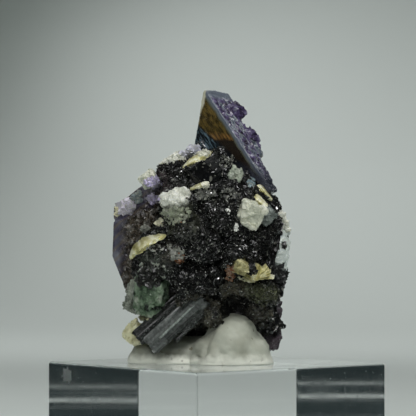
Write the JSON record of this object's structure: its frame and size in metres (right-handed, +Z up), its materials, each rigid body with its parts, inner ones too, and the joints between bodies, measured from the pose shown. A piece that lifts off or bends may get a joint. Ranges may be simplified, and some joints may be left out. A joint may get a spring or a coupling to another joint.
{
  "type": "phantom fluorite specimen",
  "caption": "Zoned see-through fluorite cube grown on a sparkling black tourmaline matrix, stuck upright with putty on a clear square block.",
  "frame": {"origin": "middle of the clear block's underside", "axes": "+Z up; X and Y along the block's sides; the specimen's matrix side faces about 39 degrees from -Y towards -X"},
  "size_m": [0.0508, 0.0569, 0.0836],
  "materials": {
    "acrylic": "polished clear block",
    "putty": "soft, matt, pressed by hand",
    "schorl": "black, glassy, sparkling",
    "grey_schorl": "dark grey, striated",
    "fluorite": "see-through, zoned gold, blue-grey and purple",
    "green_fluorite": "see-through dark green",
    "feldspar": "white, sugary",
    "yellow_feldspar": "yellow, waxy",
    "quartz": "pale, milky",
    "grey_quartz": "grey, half clear",
    "mica": "cream, pearly plates",
    "smoky": "dark smoky purple"
  },
  "bodies": {
    "root": {"acrylic_block": "acrylic", "putty": "putty", "matrix": "schorl", "fluorite_cube": "fluorite", "black_prism": "schorl", "grey_prism": "grey_schorl", "green_fluorite": "green_fluorite", "white_feldspar": "feldspar", "pale_quartz": "quartz", "smoky_quartz": "grey_quartz", "edge_quartz": "grey_quartz", "edge_feldspar": "feldspar", "left_quartz": "quartz", "yellow_feldspar": "yellow_feldspar", "top_feldspar": "feldspar", "upper_quartz": "quartz", "gold_feldspar": "yellow_feldspar", "smoky_tip": "smoky", "left_mica": "mica", "top_mica": "mica", "hook_mica": "mica", "right_mica": "mica", "outer_mica": "mica", "mica_fan": "mica"}
  },
  "joints": []
}
